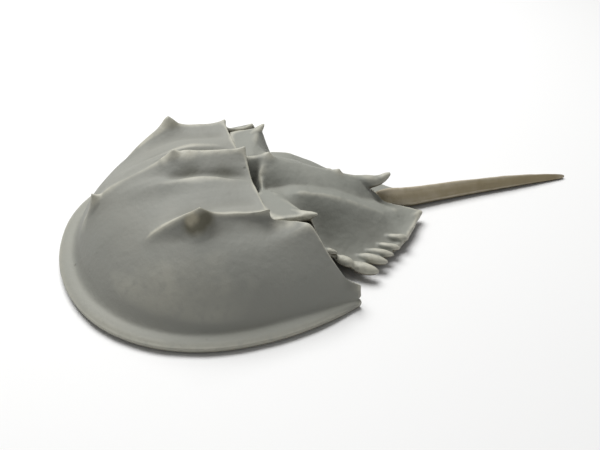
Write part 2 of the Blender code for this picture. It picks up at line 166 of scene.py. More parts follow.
def rim_spot(share):
    """Plan point of the outer rim, from the front (0) to a cheek tip (1)."""
    angle = np.clip(share / RIM_FRONT_SHARE, 0, 1) * math.pi / 2
    power = 2 / RIM_ROUNDNESS
    front_x = 0.5 * np.sin(angle) ** power
    front_y = RIM_WIDEST_Y * (1 - np.clip(np.cos(angle), 0, 1) ** power)
    back = np.clip((share - RIM_FRONT_SHARE) / (1 - RIM_FRONT_SHARE), 0, 1)
    back_x = 0.5 - (0.5 - CHEEK_TIP[0]) * back**2
    back_y = RIM_WIDEST_Y + (CHEEK_TIP[1] - RIM_WIDEST_Y) * back
    ahead = share <= RIM_FRONT_SHARE
    return np.where(ahead, front_x, back_x), np.where(ahead, front_y, back_y)


def rim_inward(share):
    """Direction in plan from the rim towards the middle of the shield."""
    near = 1e-4
    ahead_x, ahead_y = rim_spot(np.clip(share + near, 0, 1))
    behind_x, behind_y = rim_spot(np.clip(share - near, 0, 1))
    run = np.hypot(ahead_x - behind_x, ahead_y - behind_y)
    inward_x, inward_y = -(ahead_y - behind_y) / run, (ahead_x - behind_x) / run
    return np.where(share > 0, inward_x, 0.0), np.where(share > 0, inward_y, 1.0)


def groove_inset(share):
    """How far the groove behind the rolled rim runs from its outer edge."""
    inset = ((0, GROOVE_FRONT), (0.6, GROOVE_SIDE), (0.8, GROOVE_SIDE), (1, GROOVE_TIP))
    return reading(inset, share)


print("widest place of the rim:", rim_spot(np.array([RIM_FRONT_SHARE])))

# %% [markdown]
# ## The dome
#
# The head shield swells from the groove behind its rim into one big dome, fuller at the
# sides than in front. A sphere would be too round and too steep. Here the height follows
# the distance from the middle of the rim line, with a power that changes round the dome,
# and the foot of the dome flares out softly into the groove as dried shell does.

# %% Dome height
GROOVE_HEIGHT = 0.030
DOME_FULLNESS = ((0.0, 4.2), (0.15, 3.2), (0.4, 2.6), (0.7, 3.0), (1.0, 3.4))
DOME_STEEPNESS = 0.55
DOME_FOOT = ((0.0, 0.16), (0.35, 0.09), (0.6, 0.05), (1.0, 0.05))
DOME_RISE, DOME_RISE_BEHIND, DOME_LOWERS = 0.257, 0.236, (0.40, 0.60)
CHEEK_DRAW = 0.62
WALL = 0.017


def dome_height(x, y, sink=0.0, inset=0.0):
    """Height of the smooth dome; sink and inset give the inner face."""
    back = np.clip((y - RIM_WIDEST_Y) / (CHEEK_TIP[1] - RIM_WIDEST_Y), 0, None)
    half = 0.5 - GROOVE_SIDE - inset - (0.5 - CHEEK_TIP[0]) * CHEEK_DRAW * back**2
    ahead = np.clip(RIM_WIDEST_Y - y, 0, None) / (RIM_WIDEST_Y - GROOVE_FRONT - inset)
    aside = np.abs(x) / half
    out = (aside**RIM_ROUNDNESS + ahead**RIM_ROUNDNESS) ** (1 / RIM_ROUNDNESS)
    turned = np.arctan2(aside, ahead) / (math.pi / 2)
    rise = DOME_RISE + (DOME_RISE_BEHIND - DOME_RISE) * step(*DOME_LOWERS, y)
    share = np.clip(1 - np.clip(out, 0, 1) ** reading(DOME_FULLNESS, turned), 0, 1)
    flare = reading(DOME_FOOT, turned)
    foot = flare**DOME_STEEPNESS
    swell = ((share + flare) ** DOME_STEEPNESS - foot) / ((1 + flare) ** DOME_STEEPNESS - foot)
    return GROOVE_HEIGHT + (rise - sink) * swell


middle = dome_height(np.array([0.0]), np.array([0.45]))[0]
print("height of the bare dome in mm:", round(middle * HEAD_WIDTH * 1000, 1))

# %% [markdown]
# ## Long ridges and furrows
#
# Along the head run a raised middle lobe, a furrow on each side of it, a low ridge outside
# the furrow, and the strong ridge over the eye. Each is a line on the dome with a height
# and a width that change from front to back, so one function and one table per line make
# them all. Sculpting would work as well, but a table can be read and corrected.

# %% Head ridges
# The lobe: y, height, reach
HEAD_LOBE = (
    (0.052, 0.000, 0.040),
    (0.100, 0.008, 0.045),
    (0.160, 0.010, 0.052),
    (0.217, 0.007, 0.056),
    (0.270, 0.012, 0.060),
    (0.322, 0.027, 0.066),
    (0.346, 0.040, 0.070),
    (0.400, 0.049, 0.078),
    (0.448, 0.044, 0.082),
    (0.496, 0.046, 0.084),
    (0.536, 0.048, 0.084),
    (0.577, 0.048, 0.084),
)
# Each line: y, x, height, reach towards the middle, reach outwards
EYE_RIDGE = (
    (0.085, 0.185, 0.000, 0.026, 0.016),
    (0.200, 0.214, 0.000, 0.040, 0.024),
    (0.240, 0.224, 0.004, 0.036, 0.022),
    (0.270, 0.231, 0.014, 0.030, 0.017),
    (0.317, 0.242, 0.028, 0.028, 0.014),
    (0.352, 0.249, 0.038, 0.028, 0.015),
    (0.391, 0.258, 0.050, 0.028, 0.017),
    (0.411, 0.261, 0.041, 0.028, 0.019),
    (0.428, 0.263, 0.029, 0.028, 0.022),
    (0.460, 0.264, 0.018, 0.030, 0.028),
    (0.492, 0.266, 0.014, 0.032, 0.030),
    (0.533, 0.269, 0.010, 0.032, 0.028),
    (0.575, 0.274, 0.010, 0.030, 0.022),
)
LOBE_FURROW = (
    (0.330, 0.058, 0.000, 0.014, 0.014),
    (0.390, 0.064, -0.008, 0.016, 0.014),
    (0.440, 0.068, -0.007, 0.016, 0.014),
    (0.520, 0.074, -0.013, 0.018, 0.016),
    (0.575, 0.078, -0.006, 0.018, 0.016),
)
INNER_RIDGE = (
    (0.150, 0.050, 0.000, 0.024, 0.030),
    (0.200, 0.050, 0.004, 0.024, 0.030),
    (0.250, 0.054, 0.010, 0.024, 0.032),
    (0.300, 0.064, 0.013, 0.026, 0.034),
    (0.350, 0.080, 0.014, 0.028, 0.034),
    (0.391, 0.092, 0.016, 0.028, 0.034),
    (0.427, 0.098, 0.016, 0.026, 0.034),
    (0.502, 0.104, 0.015, 0.022, 0.032),
    (0.575, 0.108, 0.008, 0.020, 0.028),
)
RIDGE_VALLEY = (
    (0.300, 0.180, 0.000, 0.030, 0.030),
    (0.400, 0.195, -0.006, 0.032, 0.030),
    (0.500, 0.200, -0.009, 0.036, 0.034),
    (0.575, 0.205, -0.005, 0.036, 0.034),
)
# Each line with the power that shapes its cross section: a low one gives a sharp crest
HEAD_LINES = ((EYE_RIDGE, 1.5), (LOBE_FURROW, 2.0), (INNER_RIDGE, 2.0), (RIDGE_VALLEY, 2.0))
LOBE_POWER, LOBE_SOFTNESS = 1.5, 1.4


def line_relief(line, x, y, power):
    """Height that one long ridge or furrow adds at plan points."""
    away = np.abs(x) - reading(line, y, 1)
    reach = np.where(away > 0, reading(line, y, 4), reading(line, y, 3))
    inside = y >= line[0][0] - 1e-9
    return np.where(inside, reading(line, y, 2), 0) * bell(away, reach, power)


def head_height(x, y):
    """Height of the head's outer face, without its spines and eyes."""
    inside = np.clip(1 - (np.abs(x) / reading(HEAD_LOBE, y, 2)) ** LOBE_POWER, 0, 1)
    lobe = reading(HEAD_LOBE, y, 1) * inside**LOBE_SOFTNESS
    lines = sum(line_relief(line, x, y, power) for line, power in HEAD_LINES)
    return dome_height(x, y) + lobe + lines


top = head_height(np.zeros(50), np.linspace(0.2, 0.57, 50)).max()
print("top of the middle lobe in mm:", round(top * HEAD_WIDTH * 1000, 1))

# %% [markdown]
# ## Spines and eyes
#
# The shell's blunt thorns grow out of its ridges with wide soft feet. Adding cones would
# leave a hard ring round each foot. Instead the skin itself is drawn towards each tip, most
# at the middle of the foot and least at its edge. The compound eyes are low bean-shaped
# bulges under the eye ridge, made by the same kind of pull.

# %% Spines of the head
# Foot x and y, reach of the foot, tip offset x, y and z, sharpness
HEAD_SPINES = (
    (0.000, 0.131, 0.028, 0.000, -0.004, 0.033, 1.6),
    (0.000, 0.368, 0.026, 0.000, 0.003, 0.016, 1.5),
    (0.000, 0.575, 0.024, 0.000, 0.004, 0.006, 1.5),
    (0.259, 0.394, 0.026, 0.000, 0.001, 0.010, 1.5),
    (0.274, 0.573, 0.020, 0.001, 0.004, 0.004, 1.5),
    (0.408, 0.790, 0.024, 0.011, 0.010, 0.005, 1.5),
)
EYE_SPOT = (0.270, 0.388)
EYE_REACH = (0.042, 0.046)
EYE_BULGE = (0.011, 0.000, 0.003)


def spine_pull(spines, x, y):
    """How far spines draw the skin along x, y and z at plan points."""
    pull = np.zeros((*np.shape(x), 3))
    for foot_x, foot_y, reach, tip_x, tip_y, tip_z, sharpness in spines:
        away = np.clip(1 - np.hypot(x - foot_x, y - foot_y) / reach, 0, 1)
        pull += (away**sharpness)[..., None] * np.array([tip_x, tip_y, tip_z])
    return pull


def eye_pull(x, y):
    """The bulge of an eye."""
    away = np.hypot((x - EYE_SPOT[0]) / EYE_REACH[0], (y - EYE_SPOT[1]) / EYE_REACH[1])
    return (np.clip(1 - away**2, 0, 1) ** 2)[..., None] * np.array(EYE_BULGE)


print("spines on the head:", sum(2 if spine[0] else 1 for spine in HEAD_SPINES))

# %% [markdown]
# ## Rear border of the head shield
#
# The head shield ends behind in a border that the abdomen tucks under: level from the
# middle to the eye ridges, then dropping to the cheeks. It is traced as one path of points.
# The mesh is laid between this border and the groove, so its lines meet both exactly, and
# one of those lines is bent to follow the eye ridge, which keeps that ridge crisp.

# %% Lines of the head mesh
HEAD_BORDER = (
    (0.000, 0.575, 0.318),
    (0.040, 0.574, 0.290),
    (0.100, 0.573, 0.264),
    (0.150, 0.573, 0.268),
    (0.200, 0.573, 0.264),
    (0.255, 0.573, 0.271),
    (0.274, 0.575, 0.275),
    (0.277, 0.583, 0.249),
    (0.280, 0.612, 0.239),
    (0.288, 0.646, 0.233),
    (0.306, 0.677, 0.233),
    (0.334, 0.698, 0.206),
    (0.365, 0.719, 0.163),
    (0.386, 0.742, 0.124),
    (0.400, 0.766, 0.088),
    (0.410, 0.793, 0.066),
)
EYE_RIDGE_END = 6
RIDGE_SHARE = 0.46
RIDGE_RIM_SHARE = 0.235
BOW_FADE, BOW_HOLD = 0.2, 5

border_steps = np.linalg.norm(np.diff(np.array(HEAD_BORDER), axis=0), axis=1)
BORDER_TO_RIDGE = border_steps[:EYE_RIDGE_END].sum() / border_steps.sum()


def split_share(share, first):
    """A share of the way round, split at the eye ridge line: first is where that line ends."""
    inner = share / RIDGE_SHARE * first
    outer = first + (share - RIDGE_SHARE) / (1 - RIDGE_SHARE) * (1 - first)
    return np.where(share <= RIDGE_SHARE, inner, outer)


def groove_spot(rim_share):
    """Plan point of the groove behind the rim."""
    rim_x, rim_y = rim_spot(rim_share)
    in_x, in_y = rim_inward(rim_share)
    inset = groove_inset(rim_share)
    return rim_x + in_x * inset, rim_y + in_y * inset


def head_plan(share, inward):
    """Plan points on the lines from the rear border (inward 0) to the groove (inward 1)."""
    border_x, border_y, _ = walk(HEAD_BORDER, split_share(share, BORDER_TO_RIDGE))
    end_x, end_y = groove_spot(split_share(share, RIDGE_RIM_SHARE))
    x = border_x + (end_x - border_x) * inward
    y = border_y + (end_y - border_y) * inward
    ridge_end_x, ridge_end_y = groove_spot(np.array(RIDGE_RIM_SHARE))
    start_x, start_y, _ = HEAD_BORDER[EYE_RIDGE_END]
    chord = start_x + (ridge_end_x - start_x) * np.clip(
        (y - start_y) / (ridge_end_y - start_y), 0, 1
    )
    beyond = share - RIDGE_SHARE
    bow = np.where(beyond <= 0, share / RIDGE_SHARE, 1 - beyond / BOW_FADE)
    bow = np.clip(bow, 0, 1) * (1 - inward**BOW_HOLD)
    return x + bow * (reading(EYE_RIDGE, y, 1) - chord), y


print("share of the border up to the eye ridge:", round(float(BORDER_TO_RIDGE), 3))

# %% [markdown]
# ## Skin of the head shield
#
# The shield is a shell about the same thickness all over, open underneath. Each line of
# the mesh goes round it once: over the outer face from border to groove, round the rolled
# rim, and back along the inner face to a rounded lip at the border. Half the shield is laid
# out, then its mirror image is joined on, so that both halves share their middle line.

# %% Outer and inner faces of the head
HEAD_ACROSS, OUTER_ROWS, INNER_ROWS = 150, 165, 26
ROW_SPREAD = 1.1
BORDER_BEND = 4
# The rolled rim: distance in from its outer edge, height
RIM_SECTION = (
    (0.040, 0.0300),
    (0.034, 0.0335),
    (0.026, 0.0345),
    (0.018, 0.0330),
    (0.011, 0.0300),
    (0.005, 0.0270),
    (0.001, 0.0245),
    (0.000, 0.0215),
    (0.001, 0.0160),
    (0.003, 0.0095),
    (0.007, 0.0040),
    (0.013, 0.0000),
    (0.033, 0.0000),
    (0.038, 0.0060),
    (0.042, 0.0120),
)
RIM_POINTS, INNER_POINTS = 44, 5
RIM_INNER_EDGE = 0.028
RIM_THINNING = 0.25
# Shares of the wall's thickness at the sides, at the cheeks and where it is least
SIDE_WALL, CHEEK_WALL, LEAST_WALL = 0.85, 1.1, 0.8
CHEEK_WALL_WAY = (0.8, 0.6)
LIP_THINNING = 0.6
INNER_FOOT = 0.016

across = np.linspace(0, 1, HEAD_ACROSS + 1)[:, None]
rim_share = split_share(across, RIDGE_RIM_SHARE)
border_x, border_y, border_z = walk(HEAD_BORDER, split_share(across, BORDER_TO_RIDGE))
steep = step(0.62, 0.82, across)  # 1 where the border drops down the cheek


def outer_height(x, y, inward):
    """Height of the outer face, bent near the rear border to meet it."""
    gap = border_z - head_height(border_x, border_y)
    return head_height(x, y) + gap * (1 - inward) ** BORDER_BEND


inward = np.linspace(0, 1, OUTER_ROWS)[None, :] ** ROW_SPREAD
outer_x, outer_y = head_plan(across, inward)
outer_z = outer_height(outer_x, outer_y, inward)
outer = np.stack([outer_x, outer_y, outer_z], axis=-1)
outer += spine_pull(HEAD_SPINES, outer_x, outer_y) + eye_pull(outer_x, outer_y)

rim_x, rim_y = rim_spot(rim_share)
in_x, in_y = rim_inward(rim_share)
fit = groove_inset(rim_share) / GROOVE_SIDE
section = np.stack(walk(RIM_SECTION, np.linspace(0, 1, RIM_POINTS)), axis=-1)
inset = section[None, 1:, 0] * fit
inset[:, -INNER_POINTS:] = np.maximum(inset[:, -INNER_POINTS:], RIM_INNER_EDGE)
rim_z = section[None, 1:, 1] * (1 - RIM_THINNING * step(0.84, 1.0, rim_share))
rim = np.stack([rim_x + in_x * inset, rim_y + in_y * inset, rim_z], axis=-1)

back_in = np.linspace(1, 0, INNER_ROWS)[None, 1:]
inner_x, inner_y = head_plan(across, back_in)
under = outer_height(inner_x, inner_y, back_in)
thin = WALL * CHEEK_WALL * steep * (1 - back_in)
inner_x = inner_x + in_x * WALL * SIDE_WALL * back_in - CHEEK_WALL_WAY[0] * thin
inner_y = inner_y + in_y * WALL * SIDE_WALL * back_in - CHEEK_WALL_WAY[1] * thin
inner_z = dome_height(inner_x, inner_y, WALL, WALL)
lip_gap = border_z - WALL * (1 - LIP_THINNING * steep)
lip_gap = lip_gap - dome_height(border_x, border_y, WALL, WALL)
inner_z = inner_z + lip_gap * (1 - back_in) ** BORDER_BEND
inner_z = np.minimum(inner_z, under - WALL * LEAST_WALL * (1 - steep))
inner_z = np.maximum(inner_z, INNER_FOOT)
inner = np.stack([inner_x, inner_y, inner_z], axis=-1)
print("points on half of the outer face:", outer.shape[0] * outer.shape[1])

# %% [markdown]
# The border's lip is a half circle from the inner face up to the outer one, pushed out
# along the border's own outward direction. The bands of points are then put side by side
# and mirrored. This shell dried unevenly: its far cheek lies lower than the near one and
# points a little more forward. So a table lowers the mirror image towards the back.

# %% Lip, mirror image and mesh of the head
LIP_ANGLES = np.radians((-60, -30, 0, 30, 60))
LIP_REACH = 0.006
HEAD_SAG = ((0.68, 0.0), (0.74, 0.26), (0.80, 0.52))
SAG_ASIDE = (0.0, 0.06)
FAR_CHEEK_CURL, CURL_BEHIND, CURL_ASIDE = 0.035, (0.66, 0.80), (0.30, 0.42)

run_x, run_y = np.gradient(border_x[:, 0]), np.gradient(border_y[:, 0])
run = np.hypot(run_x, run_y)
out_x, out_y = (-run_y / run)[:, None], (run_x / run)[:, None]
low_edge, high_edge = inner[:, -1:, :], outer[:, :1, :]
lip_middle = (low_edge + high_edge) / 2
lip_half = (high_edge - low_edge) / 2
lip_reach = LIP_REACH * np.cos(LIP_ANGLES)[None, :]
lip = lip_middle + lip_half * np.sin(LIP_ANGLES)[None, :, None]
lip = lip + np.stack([out_x, out_y, 0 * out_x], axis=-1) * lip_reach[..., None]
half_head = np.concatenate([outer, rim, inner, lip], axis=1)
half_head[0, :, 0] = 0.0


def sag(points, table):
    """Lowers points of the far side by a share that a table gives for each y."""
    lower = reading(table, points[..., 1]) * step(*SAG_ASIDE, np.abs(points[..., 0]))
    points[..., 2] *= 1 - lower
    return points


def both_halves(half, table):
    """Rows of points from the sagging far side to the near side."""
    far = sag(half[:0:-1] * np.array([-1.0, 1.0, 1.0]), table)
    return np.concatenate([far, half], axis=0)


def quads(rows, columns):
    """Corner numbers of the faces between neighbouring rows of points, each row a ring."""
    row, column = np.meshgrid(np.arange(rows - 1), np.arange(columns), indexing="ij")
    following = (column + 1) % columns
    corners = (row, column), (row, following), (row + 1, following), (row + 1, column)
    return np.stack([r * columns + c for r, c in corners], axis=-1).reshape(-1, 4)


def tube_faces(rows, columns):
    """Faces of a tube of rings that is closed at both ends."""
    ends = [list(range(columns)), list(range((rows - 1) * columns, rows * columns))]
    return quads(rows, columns).tolist() + ends


def new_piece(name, points, faces):
    """A smooth-shaded mesh object from points in head widths."""
    mesh = bpy.data.meshes.new(name)
    mesh.from_pydata(place(*points.reshape(-1, 3).T).tolist(), [], faces)
    made = bmesh.new()
    made.from_mesh(mesh)
    bmesh.ops.recalc_face_normals(made, faces=made.faces)
    made.to_mesh(mesh)
    made.free()
    mesh.shade_smooth()
    return add_object(name, mesh)


grid = both_halves(half_head, HEAD_SAG)
curled = step(*CURL_BEHIND, grid[..., 1]) * step(*CURL_ASIDE, -grid[..., 0])
grid[..., 1] -= FAR_CHEEK_CURL * curled
head = new_piece("head_skin", grid, tube_faces(*grid.shape[:2]))
print("head skin:", len(head.data.vertices), "points,", len(head.data.polygons), "faces")

# %% [markdown]
# ## Form of the abdomen shield
#
# Behind the head lies a six-sided shield that rides under the head's border. It has a tent-
# shaped middle lobe, a narrow shelf on each side of it, and hollow flanks that sweep out
# and down to a spiny margin. In front, two wings rise like shoulders. It is laid out the
# same way as the head: tables for crest, foot and margin, and one height function.

# %% Abdomen height
# Crest and foot of the lobe: y, height
ABDOMEN_CREST = (
    (0.560, 0.290),
    (0.600, 0.288),
    (0.640, 0.282),
    (0.666, 0.274),
    (0.762, 0.229),
    (0.862, 0.190),
    (0.909, 0.172),
    (0.954, 0.158),
    (1.020, 0.138),
)
LOBE_FOOT = (
    (0.560, 0.190),
    (0.600, 0.190),
    (0.640, 0.215),
    (0.700, 0.216),
    (0.777, 0.199),
    (0.839, 0.176),
    (0.900, 0.142),
    (0.960, 0.106),
    (1.020, 0.078),
)
LOBE_HALF = ((0.560, 0.060), (0.620, 0.082), (0.900, 0.078), (1.020, 0.040))
SHELF_X = 0.122
ABDOMEN_MARGIN = (
    (0.266, 0.592, 0.232),
    (0.270, 0.640, 0.233),
    (0.272, 0.690, 0.228),
    (0.272, 0.716, 0.170),
    (0.270, 0.741, 0.112),
    (0.266, 0.785, 0.069),
    (0.280, 0.825, 0.050),
    (0.288, 0.865, 0.040),
    (0.282, 0.912, 0.036),
    (0.263, 0.955, 0.036),
    (0.243, 0.990, 0.037),
    (0.212, 1.035, 0.039),
    (0.176, 1.075, 0.042),
    (0.122, 1.122, 0.042),
    (0.088, 1.152, 0.039),
)
ABDOMEN_FRONT_Y, ABDOMEN_NOTCH_Y = 0.560, 0.988
# Height of the edge round the tail, by the share of the way from the middle to the corner
NOTCH_EDGE = (
    (0.00, 0.106),
    (0.13, 0.086),
    (0.27, 0.058),
    (0.45, 0.051),
    (0.75, 0.047),
    (1.00, 0.040),
)
# Front edge of the wings and the rib between them: x, y, height
WING_EDGE = (
    (0.085, 0.616, 0.222),
    (0.130, 0.629, 0.230),
    (0.175, 0.638, 0.233),
    (0.235, 0.661, 0.234),
    (0.272, 0.678, 0.235),
)
FRONT_RIB = (
    (0.000, 0.650, 0.276),
    (0.030, 0.634, 0.262),
    (0.060, 0.616, 0.243),
    (0.110, 0.606, 0.228),
)
RIB_WIDTH, WING_WIDTH, FRONT_HOLLOW = 0.012, 0.030, 0.045
SHELF_ROLL, FLANK_POWER, TENT_POWER = 0.25, 2.6, 1.7
SHELF_LIMIT, ROLL_BEHIND, FOOT_SOFTNESS, MIDDLE_BEND = 0.6, 0.6, 0.7, 1.8
# Where the roll and the soft foot grow, in y; where rib, wing and hollow fade, in x
ROLL_GROWS, FOOT_SOFTENS = (0.72, 0.92), (0.78, 0.92)
RIB_FADE, WING_FADE = (0.095, 0.125), (0.06, 0.11)
HOLLOW_START, HOLLOW_END, HOLLOW_AHEAD = (0.006, 0.045), (0.085, 0.115), (0.008, 0.030)


def abdomen_height(x, y, margin_x, margin_z):
    """Height of the abdomen's outer face, without its spines."""
    half, foot, crest = reading(LOBE_HALF, y), reading(LOBE_FOOT, y), reading(ABDOMEN_CREST, y)
    shelf = np.minimum(SHELF_X, margin_x * SHELF_LIMIT)
    out = np.clip((x - shelf) / (margin_x - shelf), 0, 1)
    roll = SHELF_ROLL + ROLL_BEHIND * step(*ROLL_GROWS, y)
    out = (1 + roll) * out**2 / (out + roll)
    height = margin_z + (foot - margin_z) * (1 - out) ** FLANK_POWER
    soft_foot = 1 + FOOT_SOFTNESS * step(*FOOT_SOFTENS, y)
    height = height + (crest - foot) * np.clip(1 - (x / half) ** TENT_POWER, 0, 1) ** soft_foot
    rib = bell(y - reading(FRONT_RIB, x, 1), RIB_WIDTH) * (1 - step(*RIB_FADE, x))
    height = height + (np.maximum(reading(FRONT_RIB, x, 2), height) - height) * rib
    behind = np.clip(y - reading(WING_EDGE, x, 1), 0, None)
    wing = step(*WING_FADE, x) * bell(behind, WING_WIDTH)
    height = height + (reading(WING_EDGE, x, 2) - height) * wing
    ahead = reading(FRONT_RIB, x, 1) - y
    hollow = step(*HOLLOW_AHEAD, ahead) * step(*HOLLOW_START, x) * (1 - step(*HOLLOW_END, x))
    return height - FRONT_HOLLOW * hollow


ABDOMEN_ACROSS, ABDOMEN_ALONG = 90, 190
across = np.linspace(0, 1, ABDOMEN_ACROSS + 1)[:, None]
back = np.linspace(0, 1, ABDOMEN_ALONG + 1)[None, :]
margin_x, margin_y, margin_z = walk(ABDOMEN_MARGIN, back)
middle_y = ABDOMEN_FRONT_Y + (ABDOMEN_NOTCH_Y - ABDOMEN_FRONT_Y) * back
plate_x = margin_x * across
plate_y = middle_y + (margin_y - middle_y) * across ** (MIDDLE_BEND - back)
plate_z = abdomen_height(plate_x, plate_y, margin_x, margin_z)
plate_z = plate_z + (reading(NOTCH_EDGE, across) - plate_z) * step(0.85, 1.0, back)
print("points on half of the abdomen:", plate_z.size)

# %% [markdown]
# The top gets its small crest thorns by the same pull as on the head. The underside runs
# below it at the wall's thickness, which is greater in the middle, and the two are sewn
# together all round. The far side of this plate has sagged too, most of all at its rear.

# %% Closed plate of the abdomen
ABDOMEN_SPINES = (
    (0.000, 0.650, 0.032, 0.000, 0.006, 0.018, 1.5),
    (0.000, 0.878, 0.026, 0.000, 0.008, 0.012, 1.5),
    (0.000, 0.945, 0.020, 0.000, 0.004, 0.005, 1.5),
)
ABDOMEN_SAG = ((0.76, 0.0), (0.82, 0.08), (0.90, 0.20), (1.00, 0.46), (1.10, 0.64))
MIDDLE_WALL, EDGE_THINNING = 1.9, 0.9

top = np.stack([plate_x, plate_y, plate_z], axis=-1)
top = top + spine_pull(ABDOMEN_SPINES, plate_x, plate_y)
wall = WALL * (MIDDLE_WALL - EDGE_THINNING * np.maximum(across**3, back**4))
below = np.stack([plate_x, plate_y, plate_z - wall], axis=-1)[:, ::-1]
plate = both_halves(np.concatenate([top, below], axis=1), ABDOMEN_SAG)
rows, columns = plate.shape[:2]


def edge_strip(row):
    """Faces that close the plate along one side margin."""
    start, half = row * columns, columns // 2
    return [
        [start + i, start + i + 1, start + columns - 2 - i, start + columns - 1 - i]
        for i in range(half - 1)
    ]


plate_faces = quads(rows, columns).tolist() + edge_strip(0) + edge_strip(rows - 1)
abdomen = new_piece("abdomen_skin", plate, plate_faces)
print("abdomen plate:", len(abdomen.data.polygons), "faces")

# %% [markdown]
# ## Horns along the margin
#
# Seven spines stand along each side margin, thick in front and slimmer towards the rear.
# The shoulders, the rear corners and the end of the middle lobe carry horns too.
# Every horn is a tube of rings along a short path, thick at the foot and blunt at the tip,
# because a plain cone looks turned on a lathe and not grown.

# %% Horn shapes
# Each horn: points of its path, and its half thickness at even steps along it
MARGIN_HORNS = (
    (
        ((0.250, 0.742, 0.088), (0.262, 0.768, 0.084), (0.269, 0.787, 0.077)),
        (0.004, 0.0105, 0.0095, 0.005),
    ),
    (
        ((0.262, 0.782, 0.058), (0.284, 0.808, 0.053), (0.302, 0.827, 0.046)),
        (0.006, 0.016, 0.0165, 0.007),
    ),
    (
        (
            (0.276, 0.816, 0.040),
            (0.302, 0.842, 0.038),
            (0.320, 0.866, 0.036),
            (0.334, 0.895, 0.033),
        ),
        (0.006, 0.016, 0.019, 0.0165, 0.007),
    ),
    (
        (
            (0.252, 0.846, 0.040),
            (0.272, 0.880, 0.040),
            (0.290, 0.912, 0.037),
            (0.301, 0.938, 0.034),
        ),
        (0.006, 0.0145, 0.0155, 0.007),
    ),
    (
        ((0.240, 0.886, 0.041), (0.260, 0.925, 0.041), (0.278, 0.968, 0.037)),
        (0.005, 0.0135, 0.0135, 0.006),
    ),
    (
        ((0.218, 0.930, 0.041), (0.240, 0.965, 0.042), (0.255, 0.998, 0.039)),
        (0.005, 0.0125, 0.0125, 0.006),
    ),
    (
        ((0.190, 0.970, 0.044), (0.207, 1.005, 0.044), (0.219, 1.041, 0.041)),
        (0.005, 0.0125, 0.0125, 0.006),
    ),
)
OTHER_HORNS = (
    (
        ((0.236, 0.655, 0.217), (0.257, 0.680, 0.223), (0.281, 0.716, 0.240)),
        (0.020, 0.015, 0.0035),
    ),
    (
        ((0.128, 1.080, 0.034), (0.106, 1.115, 0.036), (0.087, 1.152, 0.036)),
        (0.008, 0.011, 0.007),
    ),
)
TAIL_HORN = (
    ((0.000, 0.925, 0.143), (0.000, 0.975, 0.130), (0.000, 1.020, 0.126), (0.000, 1.066, 0.148)),
    (0.020, 0.024, 0.019, 0.009),
)
HORN_SIDES, HORN_RINGS = 14, 12
TIP_FROM, TIP_LENGTH, TIP_LEAST = 0.9, 0.12, 0.05
FAR_HORN_DROP, FAR_HORNS_FROM = 0.006, (0.74, 0.84)


def horn(path, halves, mirror=1.0):
    """Points and faces of one closed horn, in head widths."""
    share = np.linspace(0, 1, HORN_RINGS)
    spots = np.stack(walk(path, share), axis=-1)
    half = reading(np.column_stack([np.linspace(0, 1, len(halves)), halves]), share)
    blunt = 1 - ((share - TIP_FROM) / TIP_LENGTH).clip(0, 1) ** 2
    half = half * np.sqrt(np.clip(blunt, TIP_LEAST, 1))
    ways = np.gradient(spots, axis=0)
    ways /= np.linalg.norm(ways, axis=1)[:, None]
    sideways = np.cross(ways, [0.0, 0.0, 1.0])
    sideways /= np.linalg.norm(sideways, axis=1)[:, None]
    upward = np.cross(sideways, ways)
    turn = np.linspace(0, 2 * math.pi, HORN_SIDES, endpoint=False)[None, :, None]
    rings = np.cos(turn) * sideways[:, None] + np.sin(turn) * upward[:, None]
    points = spots[:, None] + rings * half[:, None, None]
    if mirror < 0:
        points = sag(points * np.array([mirror, 1.0, 1.0]), ABDOMEN_SAG)
        points[..., 2] -= FAR_HORN_DROP * step(*FAR_HORNS_FROM, points[..., 1])
    return points.reshape(-1, 3), tube_faces(HORN_RINGS, HORN_SIDES)


horn_points, horn_faces = [], []
for path, halves in MARGIN_HORNS + OTHER_HORNS + (TAIL_HORN,):
    for mirror in (1.0,) if path[0][0] == 0 else (1.0, -1.0):
        points, faces = horn(path, halves, mirror)
        start = sum(len(p) for p in horn_points)
        horn_points.append(points)
        horn_faces += [[start + corner for corner in face] for face in faces]
print("horns on the abdomen:", len(horn_points))

# %% [markdown]
# The horns have to look grown from the plate. Plate and horns are put in one mesh, which a
# voxel remesh then wraps in a single new skin, as if dipped in wax. A little smoothing
# leaves soft creases at the feet. Boolean joins would leave knife-sharp seams instead.

# %% Fuse horns and plate
VOXEL = 0.00052

horns = new_piece("horns", np.concatenate(horn_points), horn_faces)
joined = bmesh.new()
joined.from_mesh(abdomen.data)
joined.from_mesh(horns.data)
joined.to_mesh(abdomen.data)
joined.free()
bpy.data.objects.remove(horns)
fuse = abdomen.modifiers.new("fuse", "REMESH")
fuse.mode = "VOXEL"
fuse.voxel_size = VOXEL
soften = abdomen.modifiers.new("soften", "SMOOTH")
soften.factor = 0.5
soften.iterations = 3
fused = abdomen.evaluated_get(bpy.context.evaluated_depsgraph_get())
fused_mesh = bpy.data.meshes.new_from_object(fused)
abdomen.modifiers.clear()
abdomen.data = fused_mesh
abdomen.data.shade_smooth()
print("abdomen skin:", len(abdomen.data.vertices), "points")

# %% [markdown]
# ## The tail spine
#
# The tail is a long three-edged spike: a keel along the top, a flatter belly, and a slow
# taper to a blunt point. It lies on the table a little off the middle line. Rings of points
# along its length make it, because each ring can have its own section.

